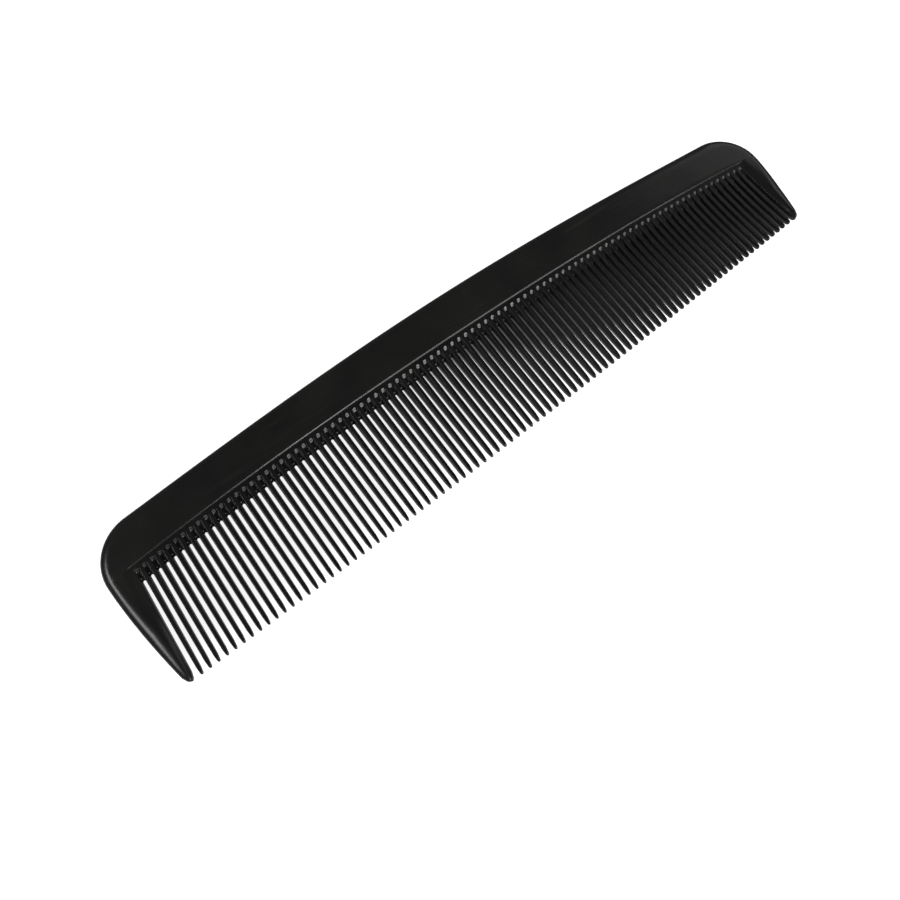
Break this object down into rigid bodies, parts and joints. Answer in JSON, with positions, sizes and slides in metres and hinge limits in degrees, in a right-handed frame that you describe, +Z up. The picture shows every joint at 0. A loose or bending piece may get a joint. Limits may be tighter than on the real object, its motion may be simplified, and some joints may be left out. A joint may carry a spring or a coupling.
{
  "type": "dressing comb",
  "caption": "Slim black plastic dressing comb with a gently arched back, rounded corners, a row of fine teeth that get slightly shorter along it and a broad guard tooth at each end.",
  "frame": {"origin": "middle of the bounding box in X and Y, on the plane of the comb's underside, with the comb lying flat", "axes": "+X along the comb towards the end with the shorter teeth, +Y from the tooth tips towards the back, +Z up out of the comb's face"},
  "size_m": [0.178, 0.038, 0.0042],
  "materials": {
    "black_plastic": "satin moulded black plastic with fine handling scratches"
  },
  "bodies": {
    "root": {"spine": "black_plastic", "guard_tooth_left": "black_plastic", "guard_tooth_right": "black_plastic", "tooth_block_1": "black_plastic", "tooth_block_2": "black_plastic", "tooth_block_3": "black_plastic", "tooth_block_4": "black_plastic", "tooth_block_5": "black_plastic", "tooth_block_6": "black_plastic", "tooth_block_7": "black_plastic", "tooth_block_8": "black_plastic", "tooth_block_9": "black_plastic"}
  },
  "joints": []
}
